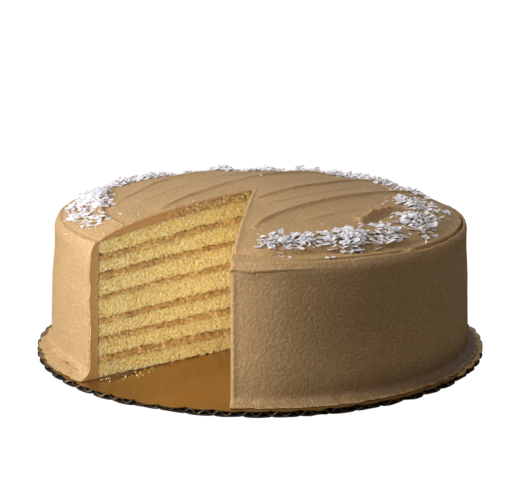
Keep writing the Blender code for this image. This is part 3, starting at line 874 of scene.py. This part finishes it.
def icing_parts():
    """The whole coat: outer skin, cut edges, and the hidden face on the layers."""
    right_rim, left_rim = from_tip(np.array([RIGHT_CUT, LEFT_CUT]), LIP_RADIUS)
    start = math.atan2(right_rim[1], right_rim[0])
    stop = math.atan2(left_rim[1], left_rim[0]) + math.tau
    near = np.array(CUT_COLUMNS) / LIP_RADIUS
    first, last = start + PLAIN_START / LIP_RADIUS, stop - PLAIN_START / LIP_RADIUS
    plain = np.linspace(first, last, ICING_COLUMNS - 2 * len(CUT_COLUMNS))
    rim = np.concatenate([start + near, plain, stop - near[::-1]])
    spots = LIP_RADIUS * direction(rim) - SLICE_TIP
    turns = np.unwrap(np.arctan2(spots[:, 1], spots[:, 0]))
    turns[0], turns[-1] = RIGHT_CUT, LEFT_CUT
    outer = outer_skin(turns)
    inner = inner_skin(turns, outer)
    marks = np.zeros(outer.shape)
    aside = np.cos(np.arctan2(outer[..., 1], outer[..., 0]) - WORK_TURN)
    # Painted shade at the foot: most at the right, away from the key light, a little in front, none
    # at the left
    shaded_side = np.clip(0.2 + 0.7 * aside, 0, 1)
    marks[..., 2] = shaded_side * (1 - soft_step(outer[..., 2], FOOT_SHADE_LOW, FOOT_SHADE_HIGH))
    foot = np.stack([outer[-1], inner[-1]])[:, 2:-2]
    rows = len(outer)
    thinned = np.unique(np.append(np.arange(0, rows, BACK_ROW_STEP), rows - 1))
    back = inner[thinned][:, 1:-1]
    parts = [sheet(outer, marks), sheet(foot, marks=3), sheet(back, marks=3)]
    for column, inwards in ((0, 1), (-1, -1)):
        parts.append(bridge(inner[:, column], back[:, column]))
        cut, values = cut_icing(turns[column], outer[:, column], inner[:, column])
        parts.append(sheet(cut, values))
        second, third = column + inwards, column + 2 * inwards
        straight = np.linspace(outer[-1, second], inner[-1, second], CUT_ROWS)
        parts.append(sheet(np.stack([cut[:, -1], straight]), marks=3))
        parts.append(bridge(straight, [outer[-1, third], inner[-1, third]]))
    return parts


def cut_icing(turn, outer, inner):
    """The icing where the knife went through: smooth at the rim, torn near the tip."""
    shares = np.linspace(0, 1, CUT_ROWS)[:, None, None]
    points = outer + shares * (inner - outer)
    _, into_cake = cut_directions(turn)
    along = np.hypot(*(points[..., :2] - SLICE_TIP).transpose(2, 0, 1))
    torn = 1 - soft_step(along, 38, 56)
    rough = holes(points, 1.9, 0.55, 2.4) + 0.6 * smooth_noise(points, 0.9, 1.2)
    depth = 0.12 + 0.12 * smooth_noise(points, 5.0, 3.0) + torn * (0.3 + 1.1 * rough)
    inside = np.sin(math.pi * shares[..., 0]) ** 0.5
    depth = np.maximum(depth, 0) * inside * np.clip(along / TIP_FADE, 0, 1)
    points[..., :2] += depth[..., None] * into_cake
    crumbs = torn * np.clip(1.5 * smooth_noise(points, 1.2, 4.1) - 0.1, 0, 1) * inside
    return points, np.stack([inside + 0 * along, crumbs, 0 * along], axis=-1)


# Whipped caramel icing: sugar and butter beaten with air, so it scatters light, has
# a soft satin shine and a fine sandy grain of tiny bubbles. Towards the foot it is
# painted darker brown as shade, most at the right, away from the key light, less in front.
caramel_icing, tree, place = start_material("whipped_caramel_icing")
smooth_colour = between(tree, mottling(tree, place, 24), "#a9814f", "#b38f60")
sand = mottling(tree, place, 1.3, 3.0, 0.7)
speck = stretched(tree, sand, 0.42, 0.64, to_high=0.55)
sandy = between(tree, speck, smooth_colour, "#c9aa7c")
cut_colour = between(tree, mesh_mark(tree, "knife_cut"), sandy, "#c4935a")
# Painted shade: darker brown towards the foot, most at the right
soaked = between(tree, mesh_mark(tree, "painted_foot_shade"), cut_colour, "#4a3018")
icing_colour = between(tree, mesh_mark(tree, "dragged_crumb"), soaked, "#e2c07c")
bubble = add_node(tree, "ShaderNodeTexVoronoi", {"Vector": place, "Scale": 1 / 3.5})
pit = stretched(tree, bubble.outputs["Distance"], high=0.12)
pits = bumps(tree, pit, 0.00012, 0.6)
grain = bumps(tree, sand, 0.00065, 0.9, pits)
scatter = (0.3, (1.0, 0.55, 0.25), 0.003)
set_surface(tree, icing_colour, 0.5, grain, scatter, IOR=1.45)

marks = ["knife_cut", "dragged_crumb", "painted_foot_shade"]
add_piece("icing_coat", icing_parts(), caramel_icing, ["icing"], marks)

# Salt flakes
# Thin brittle plates of sea salt, scattered by hand in a loose ring. They lie over
# each other in drifts, some of them on edge, and stick in the soft icing.

FLAKE_SEED = 4
RING_RADIUS = 84.0
RING_FLAKES = 2000
RING_DEGREES = (25, 200)
# Flake sizes: least and most, and for the first two also the most common
DRIFT_SIZES = (1.4, 7.4, 3.2)
RING_SIZES = (1.6, 7.0, 3.4)
STRAY_SIZES = (1.8, 3.4)
# Least and most tilt in degrees of flakes that lie and of small ones on edge
FLAT_TILT = (3, 32)
STEEP_TILT = (30, 70)
# Drifts seen from the front: middle, reach each way, and number of flakes
DRIFTS = {
    "first, by the cut": ((2, -90), (4, 3), 20),
    "front left heap": ((9, -88), (7, 6), 84),
    "beside it": ((20, -86), (6, 6), 66),
    "front middle": ((30, -82), (5, 7), 36),
    "front heap": ((42, -77), (8, 9), 160),
    "front outer": ((41, -86), (7, 4), 40),
    "right of it": ((58, -67), (8, 9), 96),
    "right heap": ((74, -45), (9, 14), 150),
    "right, far": ((75, -13), (7, 10), 120),
    "right, outer": ((85, -18), (6, 20), 60),
    "back right": ((79, 20), (8, 14), 60),
    "left, near the cut": ((-79, -50), (7, 8), 50),
    "left front": ((-85, -36), (7, 11), 60),
    "left middle": ((-92, -14), (5, 14), 56),
    "left back": ((-89, 16), (7, 12), 56),
}
STRAYS = {
    "front": [(13, -97), (29, -96), (32, -95), (56, -84), (50, -89), (62, -73), (28, -66)],
    "field": [(53, 12), (0, 20), (60, -26), (-70, -46), (-80, -24), (76, -66), (66, -14)],
    "left": [(-95, -30), (-91, -48), (-66, -43)],
}


def flake_parts(chance, centre, size, tilt, lift):
    """One broken plate with a thin edge, laid on the icing at this place."""
    corners = chance.randint(3, 6)
    squeeze = chance.uniform(0.5, 1.0)
    thickness = chance.uniform(0.14, 0.3)
    ring = []
    for k in range(corners):
        turn = math.tau * (k + chance.uniform(-0.3, 0.3)) / corners
        reach = size / 2 * chance.uniform(0.6, 1.0)
        ring.append((reach * math.cos(turn), reach * squeeze * math.sin(turn), 0.0))
    ring = np.array(ring)
    top = ring * (0.97, 0.97, 0) + (0, 0, thickness)
    bow = chance.uniform(-0.03, 0.06)
    middle = np.array([[0, 0, thickness + bow], [0, 0, bow * 0.7]])
    points = np.concatenate([ring, top, middle])
    triangles = []
    for k in range(corners):
        after = (k + 1) % corners
        triangles.append((k, after, corners + after))
        triangles.append((k, corners + after, corners + k))
        triangles.append((corners + k, corners + after, 2 * corners))
        triangles.append((after, k, 2 * corners + 1))
    spin = chance.uniform(0, math.tau)
    lean_turn = chance.uniform(0, math.tau)
    points[:, :2] = turned(points[:, :2], spin)
    c, s = math.cos(tilt), math.sin(tilt)
    points[:, :2] = turned(points[:, :2], -lean_turn)
    x, z = points[:, 0].copy(), points[:, 2].copy()
    points[:, 0], points[:, 2] = c * x - s * z, s * x + c * z
    points[:, :2] = turned(points[:, :2], lean_turn)
    points[:, 2] += lift - points[:, 2].min()
    points += centre
    tone = chance.uniform(0, 1)
    return points, triangles, np.full((len(points), 1), tone)


def salt_parts():
    """All the flakes, drift by drift, then the rest of the ring and a few strays."""
    chance = random.Random(FLAKE_SEED)
    spots = []
    for (u, v), (reach_u, reach_v), count in DRIFTS.values():
        for _ in range(count):
            place = (chance.gauss(u, 0.55 * reach_u), chance.gauss(v, 0.55 * reach_v))
            if math.hypot(*place) < 98:
                outwards = ((place[0] - u) / reach_u) ** 2 + ((place[1] - v) / reach_v) ** 2
                heap = math.exp(-outwards)
                spots.append((place, chance.triangular(*DRIFT_SIZES), heap))
    for _ in range(RING_FLAKES):
        turn = math.radians(chance.uniform(*RING_DEGREES))
        uneven = noise.noise(Vector((3 * math.cos(turn), 3 * math.sin(turn), 0.5)))
        clump = 0.5 + noise.noise(Vector((7 * math.cos(turn), 7 * math.sin(turn), 2.5)))
        radius = chance.gauss(RING_RADIUS + 5 * uneven, 4.2)
        if abs(radius - RING_RADIUS) < 10 and chance.random() < 0.4 + clump:
            place = (radius * math.cos(turn), radius * math.sin(turn))
            heap = min(1.5, max(0.0, 2.0 * clump)) * math.exp(-(((radius - 82) / 6) ** 2))
            spots.append((place, chance.triangular(*RING_SIZES), heap))
    for places in STRAYS.values():
        for place in places:
            spots.append((place, chance.uniform(*STRAY_SIZES), 0.0))
    flat = turned(np.array([spot for spot, _, _ in spots], float), WORK_TURN)
    heights = icing_top(flat)
    parts = []
    rooms = from_cuts(flat)
    for (x, y), z, room, (_, size, heap) in zip(flat.tolist(), heights.tolist(), rooms, spots):
        if room < size / 2 + 1.0:
            continue
        steep = size < 4.2 and chance.random() < 0.12 + 0.22 * heap
        tilt = math.radians(chance.uniform(*(STEEP_TILT if steep else FLAT_TILT)))
        lift = chance.uniform(-0.3, -0.05) + heap * chance.uniform(0, 1.9)
        parts.append(flake_parts(chance, np.array([x, y, z]), size, tilt, lift))
    return parts


# Sea salt flakes: clear crystal full of fine flaws, so they look white, with a
# soft glint on their flat faces and a slightly lilac grey in the shade
sea_salt, tree, place = start_material("sea_salt_flakes")
white = between(tree, mesh_mark(tree, "flake_tone"), "#e9e2e3", "#faf7f7")
frosted = bumps(tree, mottling(tree, place, 0.6, 2.0), 0.0001, 0.5)
scatter = (0.5, (1.0, 0.97, 0.95), 0.0015)
set_surface(tree, white, 0.32, frosted, scatter, IOR=1.54)

add_piece("salt_flakes", salt_parts(), sea_salt, ["icing"], ["flake_tone"], 8)

# Cake crumbs
# Loose crumbs of the sponge that the knife dropped: on the foil at the foot of the
# left cut, on the icing beside it, and stuck to the cut icing near the slice's tip.

CRUMB_SEED = 11
CRUMBS_ON_FOIL = 40
CRUMBS_ON_ICING = 10
CRUMBS_ON_CUT = 80
# Crumb sizes: least, most and most common
FOIL_CRUMB_SIZES = (0.4, 1.3, 0.7)
ICING_CRUMB_SIZES = (0.4, 1.5, 0.7)
CUT_CRUMB_SIZES = (0.8, 2.3, 1.2)
# Single crumbs on the icing, seen from the front
ICING_CRUMBS = [(-86, -51), (-57, -49), (-94, -38), (-76, -57), (-49, -43)]


def loose_crumb(chance, centre, size):
    """One small uneven lump of crumb."""
    points = []
    triangles = []
    for row in range(5):
        rise = math.pi * row / 4
        for column in range(6):
            turn = math.tau * column / 6
            reach = size / 2 * (1 if row in (0, 4) else chance.uniform(0.65, 1.15))
            flat = reach * math.sin(rise)
            height = 0.8 * reach * math.cos(rise)
            points.append((flat * math.cos(turn), flat * math.sin(turn), height))
    for row in range(4):
        for column in range(6):
            start, after = 6 * row + column, 6 * row + (column + 1) % 6
            triangles.append((start, start + 6, after + 6))
            triangles.append((start, after + 6, after))
    values = np.tile([chance.uniform(0, 0.5), chance.uniform(0, 1.6)], (len(points), 1))
    return np.array(points) + centre, triangles, values


def crumb_parts():
    """The crumbs on the foil, then those on the icing, then those on the cut icing."""
    chance = random.Random(CRUMB_SEED)
    outward, into_cake = cut_directions(LEFT_CUT)
    parts = []
    for _ in range(CRUMBS_ON_FOIL):
        size = chance.triangular(*FOIL_CRUMB_SIZES)
        along = chance.triangular(45, 92, 88)
        flat = SLICE_TIP + along * outward - chance.triangular(0.5, 9.0, 1.2) * into_cake
        centre = np.array([*flat, BOARD_THICKNESS + 0.3 * size])
        parts.append(loose_crumb(chance, centre, size))
    spots = [turned(np.array(spot, float), WORK_TURN) for spot in ICING_CRUMBS]
    for _ in range(CRUMBS_ON_ICING):
        along = chance.uniform(25, 84)
        spots.append(SLICE_TIP + along * outward + chance.triangular(0.8, 2.5, 1.0) * into_cake)
    for spot, height in zip(spots, icing_top(np.array(spots))):
        size = chance.triangular(*ICING_CRUMB_SIZES)
        parts.append(loose_crumb(chance, np.array([*spot, height + 0.2 * size]), size))
    for _ in range(CRUMBS_ON_CUT):
        size = chance.triangular(*CUT_CRUMB_SIZES)
        along = chance.triangular(1.5, 50, 2)
        flat = (SLICE_TIP + along * outward)[None]
        low, high = layer_boundary(LAYER_COUNT, flat)[0], icing_top(flat)[0]
        height = low + chance.uniform(0.1, 0.85) * (high - low)
        deeper = flat[0] + chance.uniform(-0.2, 0.35) * into_cake
        parts.append(loose_crumb(chance, np.array([*deeper, height]), size))
    return parts


marks = ["hole", "baked_skin"]
add_piece("cake_crumbs", crumb_parts(), sponge_crumb, (), marks, 40)

# Caramel smear
# A thin, glossy smear of dark caramel that the knife left on the foil under the
# first sponge, at the outer end of the left cut.

SMEAR_START = 52.0
SMEAR_STOP = 98.0
SMEAR_WIDTH = 8.0
SMEAR_THICKNESS = 0.55


def smear_parts():
    """A low uneven ribbon that thins out to nothing at its rim."""
    outward, into_cake = cut_directions(LEFT_CUT)
    along = np.linspace(SMEAR_START, SMEAR_STOP, 90)
    share = np.linspace(0, 1, 9)
    outward_share = (along - SMEAR_START) / (SMEAR_STOP - SMEAR_START)
    ends = np.clip(np.sin(math.pi * outward_share), 0, 1)
    line = SLICE_TIP + along[:, None] * outward
    ragged = 1 + 0.5 * smooth_noise(line, 5.0, 1.2) + 0.25 * smooth_noise(line, 1.7, 4.4)
    width = 0.4 + SMEAR_WIDTH * ends**0.5 * ragged * outward_share
    flat = line[None] - (share[:, None] * width - 0.3)[..., None] * into_cake
    rows = []
    for height in (SMEAR_THICKNESS, 0.0):
        dome = height * np.sin(math.pi * (0.25 + 0.75 * share))[:, None] * ends**0.5
        rows.append(np.dstack([flat, BOARD_THICKNESS + 0.02 + dome]))
    points = np.concatenate([rows[0], rows[1][::-1], rows[0][:1]])
    caps = [sheet(np.stack([rows[0][:, end], rows[1][:, end]])) for end in (0, -1)]
    return [sheet(points), *caps]


# Dark caramel smeared thin: wet looking, brown, with the foil's warmth in it
wet_caramel, tree, place = start_material("smeared_dark_caramel")
streaks = mottling(tree, place, 3)
stain = between(tree, streaks, "#3c210c", "#70451f")
set_surface(tree, stain, 0.28, bumps(tree, streaks, 0.0003), IOR=1.45)

add_piece("caramel_smear", smear_parts(), wet_caramel, ())

# Floor, light and camera
# A plain pale floor, one large soft light from the left and a little in front, a
# weaker one above, a small lamp on the open slice, and weak light from all round.

KEY_TURN = math.radians(-154.8) + WORK_TURN
KEY_HEIGHT = math.radians(24)
KEY_AIM_HEIGHT = 0.04
KEY_DISTANCE = 0.95
KEY_SIZE = 0.43
KEY_POWER = 12.0
SLICE_LAMP_TURN = math.radians(-104) + WORK_TURN
SLICE_LAMP_HEIGHT = math.radians(9)
SLICE_LAMP_DISTANCE = 1.3
SLICE_LAMP_POWER = 49.0
SLICE_LAMP_CONE = math.radians(5.5)
# This aim alone is in millimetres, as the cake is
SLICE_LAMP_AIM = (-49, -45.5, 41)
TOP_LIGHT_SIZE = 1.6
TOP_LIGHT_HEIGHT = 1.5
TOP_LIGHT_POWER = 3.6


def add_lamp(name, kind, power, place, from_cake=None):
    """A lamp at this place that shines against the direction from_cake, or down."""
    lamp = add_object(name, bpy.data.lights.new(name, kind))
    lamp.data.energy = power
    lamp.location = place
    if from_cake is not None:
        lamp.rotation_mode = "QUATERNION"
        lamp.rotation_quaternion = from_cake.to_track_quat("Z", "Y")
    return lamp


bpy.ops.mesh.primitive_circle_add(vertices=64, radius=30, fill_type="NGON")
floor = bpy.context.object
floor.name = "floor"
# Matt paper that is seen as plain white, and throws only a weak light on the cake
floor_paper, tree, _ = start_material("pale_floor_paper")
light_path = add_node(tree, "ShaderNodeLightPath")
inputs = {
    "Base Color": linear("#454545"),
    "Roughness": 0.9,
    "Specular IOR Level": 0.0,
    "Emission Color": linear("#ffffff"),
    "Emission Strength": light_path.outputs["Is Camera Ray"],
}
fill_inputs(tree, tree.nodes["Principled BSDF"], inputs)
floor.data.materials.append(floor_paper)

# White behind the cake, and a weak light on it from all round
world = bpy.data.worlds.new("studio")
bpy.context.scene.world = world
world.use_nodes = True
tree = world.node_tree
seen = add_node(tree, "ShaderNodeLightPath").outputs["Is Camera Ray"]
strength = stretched(tree, seen, to_low=0.35)
backdrop = between(tree, seen, "#fffbf8", "#ffffff")
fill_inputs(tree, tree.nodes["Background"], {"Color": backdrop, "Strength": strength})

level = math.cos(KEY_HEIGHT)
key_way = (level * math.cos(KEY_TURN), level * math.sin(KEY_TURN), math.sin(KEY_HEIGHT))
from_cake = Vector(key_way)
key_place = Vector((0, 0, KEY_AIM_HEIGHT)) + KEY_DISTANCE * from_cake
key = add_lamp("key_light", "AREA", KEY_POWER, key_place, from_cake)
key.data.shape = "SQUARE"
key.data.size = KEY_SIZE
key.data.color = linear("#f2f7ff")[:3]

# A weak light straight above that softens the shadows
top_light = add_lamp("top_light", "AREA", TOP_LIGHT_POWER, (0, 0, TOP_LIGHT_HEIGHT))
top_light.data.size = TOP_LIGHT_SIZE

# A small lamp low in front and a little left, that brightens the open slice
aim = turned(np.array(SLICE_LAMP_AIM[:2]), WORK_TURN)
aim = Vector((aim[0], aim[1], SLICE_LAMP_AIM[2])) * MM
lamp_way = (math.cos(SLICE_LAMP_TURN), math.sin(SLICE_LAMP_TURN), math.tan(SLICE_LAMP_HEIGHT))
from_cake = Vector(lamp_way)
lamp_place = aim + SLICE_LAMP_DISTANCE * from_cake
slice_lamp = add_lamp("slice_lamp", "SPOT", SLICE_LAMP_POWER, lamp_place, from_cake)
slice_lamp.data.spot_size = SLICE_LAMP_CONE
slice_lamp.data.spot_blend = 0.6
slice_lamp.data.shadow_soft_size = 0.03

camera = add_object("camera", bpy.data.cameras.new("camera"))
camera.data.lens = 86.05
camera.data.sensor_width = 36
camera.location = (0.3062, -0.5391, 0.1899)
camera.rotation_euler = (math.radians(77.31), 0, WORK_TURN)
bpy.context.scene.camera = camera
bpy.context.scene.view_settings.view_transform = "Standard"
